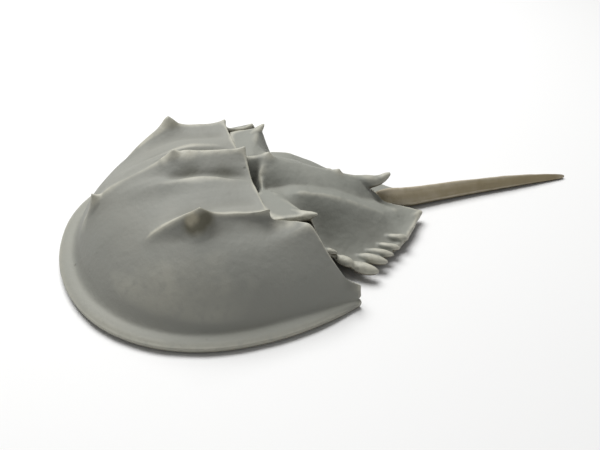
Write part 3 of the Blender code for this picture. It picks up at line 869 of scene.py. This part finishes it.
# %% Tail
# y, half width, underside z, top z, middle x
TAIL_STATIONS = (
    (1.026, 0.022, 0.040, 0.082, 0.000),
    (1.060, 0.028, 0.028, 0.084, -0.002),
    (1.117, 0.030, 0.010, 0.076, -0.006),
    (1.170, 0.030, 0.000, 0.070, -0.010),
    (1.260, 0.028, 0.000, 0.066, -0.012),
    (1.360, 0.025, 0.000, 0.061, -0.013),
    (1.493, 0.020, 0.000, 0.052, -0.012),
    (1.620, 0.014, 0.000, 0.040, -0.010),
    (1.720, 0.009, 0.000, 0.027, -0.008),
    (1.765, 0.006, 0.001, 0.018, -0.007),
    (1.776, 0.003, 0.004, 0.013, -0.007),
)
TAIL_RINGS, TAIL_SIDES = 260, 40
TOP_SHARE, BELLY_SHARE = 0.62, 0.38
KEEL_HEIGHT, KEEL_WIDTH, FLANK_DRAW = 0.10, 0.06, 0.28

along_tail = np.linspace(TAIL_STATIONS[0][0], TAIL_STATIONS[-1][0], TAIL_RINGS)[:, None]
half, low, high, middle_x = (reading(TAIL_STATIONS, along_tail, c) for c in (1, 2, 3, 4))
turn = np.linspace(0, 2 * math.pi, TAIL_SIDES, endpoint=False)[None, :]
side, lift = np.cos(turn), np.sin(turn)
tall = high - low
keel = KEEL_HEIGHT * bell(lift - 1, KEEL_WIDTH)
above = TOP_SHARE * (lift - KEEL_HEIGHT + keel)
tail_z = high - tall * TOP_SHARE + tall * np.where(lift > 0, above, BELLY_SHARE * lift)
tail_x = middle_x + side * half * (1 - FLANK_DRAW * np.clip(lift, 0, 1))
tail_y = np.broadcast_to(along_tail, tail_z.shape)
tail_points = np.stack([tail_x, tail_y, tail_z], axis=-1)
tail = new_piece("tail_skin", tail_points, tube_faces(TAIL_RINGS, TAIL_SIDES))
print("tail skin:", len(tail.data.vertices), "points")

# %% [markdown]
# ## Uneven skin
#
# No part of a real shell is perfectly even. Slow swells and small dents are pushed into
# the skin along its normals, with noise that is the same on every run. The left and right
# sides get different dents, which hides that they began as mirror images. What rests on
# the table stays flat.

# %% Dents and swells
FOOT_STAYS, FOOT_FREE = 0.0003, 0.0030


def vectors(items, name):
    """One vector of each item as the rows of an array."""
    values = np.empty(len(items) * 3)
    items.foreach_get(name, values)
    return values.reshape(-1, 3)


def points_of(mesh):
    return vectors(mesh.vertices, "co")


def normals_of(mesh):
    return vectors(mesh.vertex_normals, "vector")


def move_to(mesh, points):
    """Puts the points of a mesh at new places."""
    mesh.vertices.foreach_set("co", points.ravel())
    mesh.update()


def dent(piece, layers):
    """Moves the skin along its normals; each layer is a patch size and a depth in metres."""
    points = points_of(piece.data)
    move = np.zeros(len(points))
    for number, (size, depth) in enumerate(layers):
        shift = Vector((number * 3.1, 1.7, 0.4))
        move += depth * np.array([noise.noise(Vector(p) / size + shift) for p in points])
    move *= step(FOOT_STAYS, FOOT_FREE, points[:, 2])
    move_to(piece.data, points + normals_of(piece.data) * move[:, None])


dent(head, ((0.022, 0.00036), (0.008, 0.00013), (0.003, 0.00005)))
dent(abdomen, ((0.016, 0.00040), (0.006, 0.00022), (0.0025, 0.00008)))
dent(tail, ((0.030, 0.00050), (0.007, 0.00016), (0.0025, 0.00006)))
print("highest point in mm:", round(points_of(head.data)[:, 2].max() * 1000, 2))

# %% [markdown]
# ## Soft crease behind the rim
#
# The rim's roll runs into the dome without a sharp line. Both forms were drawn from tables
# that end there, so the crease is melted a little: its points move towards the mean of
# their neighbours, again and again. Points further up or down stay where they are. At the
# end of a cheek the points keep their place along the shell, and a slight bulge rounds it.

# %% Soft crease behind the rim
MELT_ROUNDS = 22
# Heights where the melt sets in, and how much lower they are at the cheek's end
MELT_FROM, MELT_FULL, FROM_DROP, FULL_DROP = 0.020, 0.028, 0.005, 0.006
# Heights between which it fades out again, the upper one lower from mid-length on
MELT_FADE, MELT_TOP, TOP_DROP, TOP_DROPS = 0.045, 0.170, 0.100, (0.45, 0.65)
CHEEK_END, MELT_STOPS = (0.690, 0.785), (0.786, 0.800)
CHEEK_BULGE, BULGE_HEIGHT, BULGE_REACH = 0.004, 0.028, 0.022


def smoothed(mesh, rounds):
    """Every point moved again and again to the mean of its neighbours."""
    points = points_of(mesh)
    ends = np.empty(len(mesh.edges) * 2, int)
    mesh.edges.foreach_get("vertices", ends)
    one, other = ends[0::2], ends[1::2]
    count = np.bincount(ends, minlength=len(points))[:, None]
    for _ in range(rounds):
        total = [
            np.bincount(one, points[other, axis], len(points))
            + np.bincount(other, points[one, axis], len(points))
            for axis in range(3)
        ]
        points = np.stack(total, axis=-1) / count
    return points


points = points_of(head.data)
up = points[:, 2] / HEAD_WIDTH
along = points[:, 1] / HEAD_WIDTH + SHELL_LENGTH / 2
cheek_end = step(*CHEEK_END, along)
share = step(MELT_FROM - FROM_DROP * cheek_end, MELT_FULL - FULL_DROP * cheek_end, up)
share *= 1 - step(MELT_FADE, MELT_TOP - TOP_DROP * step(*TOP_DROPS, along), up)
melt = (smoothed(head.data, MELT_ROUNDS) - points) * share[:, None]
melt *= 1 - step(*MELT_STOPS, along)[:, None]
melt[:, 1] *= 1 - cheek_end
melt[:, 1] += CHEEK_BULGE * HEAD_WIDTH * cheek_end * bell(up - BULGE_HEIGHT, BULGE_REACH)
move_to(head.data, points + melt)
print("points melted at the crease:", int((share > 0.5).sum()))

# %% [markdown]
# ## Where the skin is rubbed, and painted shade
#
# Ridge crests and spine tips are rubbed pale, and hollows get a darker tone as painted
# shade. Both follow from the form alone: a copy of the skin is smoothed, and each point is
# compared with it. Points that stand above the smoothed copy are crests, points below it
# are hollows. Faces that look down get a dark brown painted shade. The results are stored
# on the mesh, where a material can read them by name.

# %% Crest and hollow masks
# FACES_DOWN: how far down a face looks before it gets the painted shade.
CREST_FROM, HOLLOW_FROM, FACES_DOWN = 0.00032, 0.00010, (0.05, 0.50)


def store(mesh, name, values):
    """Keeps a value from 0 to 1 for each point of a mesh."""
    mask = mesh.attributes.new(name, "FLOAT", "POINT")
    mask.data.foreach_set("value", np.clip(values, 0, 1).astype(np.float32))


def mask_relief(piece, rounds, crest_full, hollow_full):
    """Stores three masks; full is the height in metres where a mask reaches 1."""
    mesh = piece.data
    above = ((points_of(mesh) - smoothed(mesh, rounds)) * normals_of(mesh)).sum(axis=1)
    store(mesh, "crest", (above - CREST_FROM) / crest_full)
    # Hollows: the material darkens them as painted shade.
    store(mesh, "hollow", (-above - HOLLOW_FROM) / hollow_full)
    # Faces that look down: the material gives them a dark brown painted shade.
    store(mesh, "under", step(*FACES_DOWN, -normals_of(mesh)[:, 2]))
    print(piece.name, "stands", round(above.max() * 1000, 2), "mm above its smoothed skin at most")


mask_relief(head, 60, 0.00060, 0.00045)
mask_relief(abdomen, 60, 0.00055, 0.00060)
mask_relief(tail, 30, 0.00030, 0.00030)

# %% [markdown]
# More masks mark places by distance alone: the pale tips of spines and horns, the tan eyes
# with a painted highlight, a brown painted shade below and beside each eye, and three
# patches of painted shade next to the middle lobe. The band of the rolled rim, painted a
# little paler as painted light, goes by height.

# %% Tip, eye, painted shade and painted rim light masks
RIM_BAND_TOP = (0.0042, 0.0066)
HOLLOWS_FROM = (0.006, 0.014)


def nearness(points, spots, reach):
    """1 at any of the spots, falling to 0 at the reach, for points in metres."""
    near = np.zeros(len(points))
    for spot in spots:
        away = np.linalg.norm(points - place(*spot), axis=1) / (reach * HEAD_WIDTH)
        near = np.maximum(near, 1 - step(0.0, 1.0, away))
    return near


def both_sides(spots):
    return [(sign * x, y, z) for x, y, z in spots for sign in (1.0, -1.0)]


head_tips = [(0.0, 0.121, 0.247), (0.0, 0.366, 0.352), (0.0, 0.583, 0.330)]
head_tips += both_sides([(0.259, 0.396, 0.303), (0.277, 0.579, 0.279), (0.419, 0.800, 0.071)])
lip_patch = both_sides([(0.282, 0.600, 0.234), (0.285, 0.630, 0.226)])
skin = points_of(head.data)
pale_tips, pale_lip = nearness(skin, head_tips, 0.030), nearness(skin, lip_patch, 0.032)
store(head.data, "tip", np.maximum(pale_tips, 0.8 * pale_lip))
horn_tips = both_sides([path[-1] for path, _ in MARGIN_HORNS + OTHER_HORNS])
horn_tips += [TAIL_HORN[0][-1], (0.0, 0.656, 0.294), (0.0, 0.886, 0.190)]
store(abdomen.data, "tip", nearness(points_of(abdomen.data), horn_tips, 0.034))
store(tail.data, "tip", nearness(points_of(tail.data), [(-0.007, 1.776, 0.008)], 0.05))

# The tan of each eye, set on the front of its bulge towards the lamp, lighter there as a painted
# highlight.
eye_and_highlight_spots = both_sides([(0.269, 0.364, 0.279), (0.266, 0.378, 0.285)])
store(head.data, "eye_and_highlight", nearness(skin, eye_and_highlight_spots, 0.027))
# Painted shade, brown, below and beside each eye bulge.
eye_shade_spots = both_sides([(0.274, 0.370, 0.266), (0.277, 0.388, 0.271), (0.271, 0.402, 0.281)])
store(head.data, "eye_shade", nearness(skin, eye_shade_spots, 0.044))
# Painted shade: darker patches next to the middle lobe.
shade_patches = [(0.052, 0.405, 0.290), (0.062, 0.505, 0.280), (-0.045, 0.430, 0.300)]
store(head.data, "shade_patch", nearness(skin, shade_patches, 0.044))
# The rolled rim's band is painted a little paler: painted light.
store(head.data, "rim", 1 - step(*RIM_BAND_TOP, skin[:, 2]))
# The painted hollow shade is kept off the lowest parts of the shield, round the rim.
hollow = head.data.attributes["hollow"].data
depth = np.empty(len(skin), np.float32)
hollow.foreach_get("value", depth)
hollow.foreach_set("value", depth * step(*HOLLOWS_FROM, skin[:, 2]).astype(np.float32))
print("masks on the head:", [a.name for a in head.data.attributes if a.data_type == "FLOAT"])

# %% [markdown]
# ## Shared effects for the shell's surface
#
# All three pieces are the same dried shell, so their materials share three effects: close
# tones stirred together in soft patches, crests rubbed pale and hollows darkened as painted
# shade, and the height of a dry, slightly pitted grain. Each is a node group with named
# inputs, built once, and each material sets its own values.

# %% Node helper
def fill(node, inputs):
    """Gives a node's inputs their values, or links them to the sockets given."""
    for name, value in inputs.items():
        if isinstance(value, bpy.types.NodeSocket):
            node.id_data.links.new(value, node.inputs[name])
        else:
            node.inputs[name].default_value = value


def new_node(tree, kind, at, inputs=None, **settings):
    """Adds a node with its settings and inputs."""
    node = tree.nodes.new(kind)
    node.location = at
    for name, value in settings.items():
        setattr(node, name, value)
    fill(node, inputs or {})
    return node


def new_group(name, inputs, outputs):
    """An empty node group with named sockets; returns it with what it is given and gives."""
    group = bpy.data.node_groups.new(name, "ShaderNodeTree")
    for socket, kind in inputs:
        group.interface.new_socket(socket, in_out="INPUT", socket_type=kind)
    for socket, kind in outputs:
        group.interface.new_socket(socket, in_out="OUTPUT", socket_type=kind)
    given = new_node(group, "NodeGroupInput", (-800, 0)).outputs
    gives = new_node(group, "NodeGroupOutput", (800, 0)).inputs
    return group, given, gives


print("node helpers ready")

# %% Colour helper
def mix_colours(tree, at, share, first, second):
    """A Mix node for colours; gives its result socket."""
    inputs = {0: share, 6: first, 7: second}
    return new_node(tree, "ShaderNodeMix", at, inputs, data_type="RGBA").outputs[2]


def mapped(tree, at, value, low, high, full=1.0):
    """A value stretched so that low gives 0 and high gives full."""
    inputs = {"Value": value, "From Min": low, "From Max": high, "To Max": full}
    return new_node(tree, "ShaderNodeMapRange", at, inputs).outputs["Result"]


def calculated(tree, at, operation, first, second):
    """The result of a Math node."""
    inputs = {0: first, 1: second}
    return new_node(tree, "ShaderNodeMath", at, inputs, operation=operation).outputs[0]


def stored(tree, at, name):
    """A mask that is stored on the mesh."""
    return new_node(tree, "ShaderNodeAttribute", at, attribute_name=name).outputs["Fac"]


print("colour helpers ready")

# %% Mottled tones
FLOAT, COLOUR, VECTOR = "NodeSocketFloat", "NodeSocketColor", "NodeSocketVector"


def noise_value(tree, at, scale, detail):
    """Soft noise over the place that a group is given."""
    place_in = tree.nodes["Group Input"].outputs["Place"]
    inputs = {"Vector": place_in, "Scale": scale, "Detail": detail}
    return new_node(tree, "ShaderNodeTexNoise", at, inputs).outputs["Fac"]


tones_in = [("Place", VECTOR), ("Patches", FLOAT)]
tones_in += [("First", COLOUR), ("Second", COLOUR), ("Third", COLOUR)]
mottle, given, gives = new_group("Mottled tones", tones_in, [("Colour", COLOUR)])
patches = noise_value(mottle, (-560, 200), given["Patches"], 3.0)
finer = calculated(mottle, (-560, -120), "MULTIPLY", given["Patches"], 3.7)
flecks = noise_value(mottle, (-360, -120), finer, 4.0)
patch_share = mapped(mottle, (-160, 200), patches, 0.32, 0.70)
fleck_share = mapped(mottle, (-160, -120), flecks, 0.45, 0.80, 0.3)
first, second = given["First"], given["Second"]
two_tones = mix_colours(mottle, (100, 150), patch_share, first, second)
three_tones = mix_colours(mottle, (350, 50), fleck_share, two_tones, given["Third"])
mottle.links.new(three_tones, gives["Colour"])
print("groups:", [group.name for group in bpy.data.node_groups])

# %% [markdown]
# Rubbed crests and the painted shade of hollows read the masks stored on the mesh. A
# little noise breaks up the edge of the rubbed part, since wear never ends in a clean line.

# %% Rubbed crests and painted hollow shade
rub_in = [("Place", VECTOR), ("Colour", COLOUR), ("Pale", COLOUR), ("Dark", COLOUR)]
rub_in += [("Crest", FLOAT), ("Hollow", FLOAT), ("Tip", FLOAT)]
rub_and_shade, given, gives = new_group("Rubbed crests and hollow shade", rub_in, [("Colour", COLOUR)])
uneven = mapped(rub_and_shade, (-360, 300), noise_value(rub_and_shade, (-560, 300), 260.0, 3.0), 0.12, 0.50)
broken = calculated(rub_and_shade, (-160, 250), "MULTIPLY", given["Crest"], uneven)
either = calculated(rub_and_shade, (20, 200), "MAXIMUM", broken, given["Tip"])
rubbed = mix_colours(rub_and_shade, (220, 100), either, given["Colour"], given["Pale"])
# Painted shade: hollows are darkened towards the dark colour.
hollow_shaded = mix_colours(rub_and_shade, (460, 0), given["Hollow"], rubbed, given["Dark"])
rub_and_shade.links.new(hollow_shaded, gives["Colour"])
print("groups:", [group.name for group in bpy.data.node_groups])

# %% [markdown]
# The grain is a height only: broad soft orange-peel, a finer dry grain, and a few tiny pits
# where a cell pattern comes close to its middle. Each material turns it into a bump.

# %% Dry skin grain
grain_in = [("Place", VECTOR), ("Grain", FLOAT), ("Pits", FLOAT)]
grain, given, gives = new_group("Dry skin grain", grain_in, [("Height", FLOAT), ("Pit", FLOAT)])
peel = noise_value(grain, (-560, 200), given["Grain"], 5.0)
cells_in = {"Vector": given["Place"], "Scale": given["Pits"]}
cells = new_node(grain, "ShaderNodeTexVoronoi", (-560, -150), cells_in)
pit = mapped(grain, (-320, -150), cells.outputs["Distance"], 0.16, 0.05)
where = mapped(grain, (-320, -420), noise_value(grain, (-560, -420), 31.0, 2.0), 0.58, 0.66)
kept = calculated(grain, (-100, -250), "MULTIPLY", pit, where)
sunk = calculated(grain, (200, 50), "SUBTRACT", peel, kept)
grain.links.new(sunk, gives["Height"])
grain.links.new(kept, gives["Pit"])
print("groups:", [group.name for group in bpy.data.node_groups])

# %% [markdown]
# ## Shell material
#
# One function lays out the material for all three pieces: mottled tones, then rubbed
# crests with painted shade in the hollows, then grain for the bump, and last a dark brown
# painted shade on faces that look down. Dried shell is matt with a faint waxy sheen where
# it is rubbed, so the roughness drops a little on the crests. Colours are given as they
# look on screen, and turned into the linear values that a shader works with.

# %% Shell material
def tone(red, green, blue):
    """Linear colour from screen values of 0 to 255."""
    linear = [((c / 255 + 0.055) / 1.055) ** 2.4 for c in (red, green, blue)]
    return (*linear, 1.0)


# Dark brown painted shade for faces that look down.
UNDERSIDE_SHADE = tone(86, 78, 56)
GRAIN_SCALE, BUMP_STRENGTH, BUMP_DEPTH = 420.0, 0.35, 0.0006
MATT, WAXY = 0.68, 0.52


def shell_material(piece, name, tones, pale, dark, patches, pits):
    """Gives a piece its shell; returns the node tree and the colour that goes to its shader."""
    material = bpy.data.materials.new(name)
    material.use_nodes = True
    tree = material.node_tree
    shader = tree.nodes["Principled BSDF"]
    spot = new_node(tree, "ShaderNodeTexCoord", (-1500, 0)).outputs["Object"]
    names = ("crest", "hollow", "tip", "under")
    crest, hollow, tip, under = (
        stored(tree, (-1500, -200 - 170 * i), name) for i, name in enumerate(names)
    )
    mixed_in = {"Place": spot, "Patches": patches}
    mixed_in |= zip(("First", "Second", "Third"), tones)
    mixed = new_node(tree, "ShaderNodeGroup", (-1200, 200), mixed_in, node_tree=mottle)
    rubbed_in = {"Place": spot, "Colour": mixed.outputs["Colour"], "Pale": pale, "Dark": dark}
    rubbed_in |= {"Crest": crest, "Hollow": hollow, "Tip": tip}
    rubbed = new_node(tree, "ShaderNodeGroup", (-900, 100), rubbed_in, node_tree=rub_and_shade)
    skin_in = {"Place": spot, "Grain": GRAIN_SCALE, "Pits": pits}
    skin = new_node(tree, "ShaderNodeGroup", (-900, -350), skin_in, node_tree=grain)
    bump = new_node(tree, "ShaderNodeBump", (-600, -350), {"Height": skin.outputs["Height"]})
    fill(bump, {"Strength": BUMP_STRENGTH, "Distance": BUMP_DEPTH})
    gloss_in = {"Value": crest, "To Min": MATT, "To Max": WAXY}
    gloss = new_node(tree, "ShaderNodeMapRange", (-600, -100), gloss_in)
    fill(shader, {"Roughness": gloss.outputs["Result"], "Normal": bump.outputs["Normal"]})
    pitted = mix_colours(tree, (-400, 200), skin.outputs["Pit"], rubbed.outputs["Colour"], dark)
    # Painted shade: faces that look down turn dark brown.
    shaded = mix_colours(tree, (-250, 300), under, pitted, UNDERSIDE_SHADE)
    fill(shader, {"Base Color": shaded})
    piece.data.materials.clear()
    piece.data.materials.append(material)
    return tree, shaded


head_tones = (tone(148, 148, 140), tone(143, 144, 137), tone(150, 147, 137))
# The darker colour is the painted shade of hollows, and also the colour of the pits.
pale_crest, hollow_shade_and_pit = tone(186, 184, 170), tone(128, 128, 120)
look = (head_tones, pale_crest, hollow_shade_and_pit)
tree, colour = shell_material(head, "head shell", *look, 15.0, 150.0)
print("nodes in the head's material:", len(tree.nodes))

# %% [markdown]
# The head's material has four things more, laid over each other just before the shader:
# the rim painted paler as painted light, the patches of painted shade, the brown painted
# shade below and beside each eye, and the tan eye itself, lighter towards the lamp as a
# painted highlight. Each comes in through its own mask. A picture of the shell could show
# them too, but a mask keeps its place on the form and stays sharp at any distance.

# %% Painted rim light, painted shade and eyes in the head's material
# Mask, where it starts and ends, how much of the colour shows there, colour
HEAD_MARKS = (
    # The rim band painted paler, as painted light
    ("rim", 0.0, 1.0, 0.50, tone(157, 157, 147)),
    # Patches of painted shade next to the middle lobe
    ("shade_patch", 0.0, 1.0, 0.50, tone(108, 108, 96)),
    # Brown painted shade below and beside each eye
    ("eye_shade", 0.05, 0.70, 0.95, tone(103, 100, 83)),
    # Tan eye, lighter on the side towards the lamp as a painted highlight
    ("eye_and_highlight", 0.10, 0.75, 0.90, tone(170, 164, 143)),
)
for i, (name, low, high, full, mark) in enumerate(HEAD_MARKS):
    mask = stored(tree, (-400, 500 + 180 * i), name)
    share = mapped(tree, (-200, 500 + 180 * i), mask, low, high, full)
    colour = mix_colours(tree, (100 * i, 420), share, colour, mark)
fill(tree.nodes["Principled BSDF"], {"Base Color": colour})
print("marks on the head:", [mark[0] for mark in HEAD_MARKS])

# %% [markdown]
# The abdomen is a shade darker than the head. The tail is browner, like horn, and paler
# where it is rubbed.

# %% Abdomen and tail materials
abdomen_tones = (tone(144, 145, 137), tone(138, 140, 132), tone(146, 144, 135))
tail_tones = (tone(156, 143, 113), tone(146, 133, 104), tone(165, 153, 125))
# The tail's dark colour is its painted shade in hollows, and the colour of its pits.
tail_pale, tail_dark = tone(180, 170, 148), tone(120, 108, 88)
shell_material(abdomen, "abdomen shell", abdomen_tones, pale_crest, hollow_shade_and_pit, 18.0, 170.0)
shell_material(tail, "tail shell", tail_tones, tail_pale, tail_dark, 18.0, 240.0)
print("materials:", [m.name for m in bpy.data.materials if m.name.endswith("shell")])

# %% [markdown]
# ## Putting the pieces in place
#
# Each new piece takes the place of its plain solid and moves with it.

# %% Ride and replace
for piece, node in ((head, "head_shield"), (abdomen, "abdomen_shield"), (tail, "tail_spine")):
    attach(piece, "root")
    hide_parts(node)
    print(piece.name, "stands for", node)

# %% [markdown]
# ## Table and light
#
# The shell lies on a plain pale table under soft light from above, from the far side and a
# little from the front. One square lamp, nearly as wide as it is high up, gives the soft
# shadow under the rim. A sky of weak white light keeps that shadow from going black.

# %% Table
TABLE_REACH = 6.0
signs = ((-1, -1), (1, -1), (1, 1), (-1, 1))
corners = [(x * TABLE_REACH, y * TABLE_REACH, 0) for x, y in signs]
table_mesh = bpy.data.meshes.new("table")
table_mesh.from_pydata(corners, [], [(0, 1, 2, 3)])
table = add_object("table", table_mesh)
table_material = bpy.data.materials.new("table top")
table_material.use_nodes = True
table_shader = table_material.node_tree.nodes["Principled BSDF"]
fill(table_shader, {"Base Color": (0.90, 0.90, 0.895, 1.0), "Roughness": 0.7})
table_mesh.materials.append(table_material)
print("table reaches", TABLE_REACH, "m each way")

# %% Light
LAMP_SPOT = (-0.46, -0.12, 1.00)
LAMP_SIZE, LAMP_POWER, SKY_STRENGTH = 0.78, 14.4, 0.21

light = bpy.data.lights.new("overhead", "AREA")
light.size = LAMP_SIZE
light.energy = LAMP_POWER
lamp = add_object("overhead", light)
lamp.location = LAMP_SPOT
lamp.rotation_euler = (-Vector(LAMP_SPOT)).to_track_quat("-Z", "Y").to_euler()
sky = bpy.data.worlds.new("sky")
sky.use_nodes = True
sky_in = {"Color": (1.0, 1.0, 1.0, 1.0), "Strength": SKY_STRENGTH}
fill(sky.node_tree.nodes["Background"], sky_in)
bpy.context.scene.world = sky
bpy.context.scene.view_settings.view_transform = "Standard"
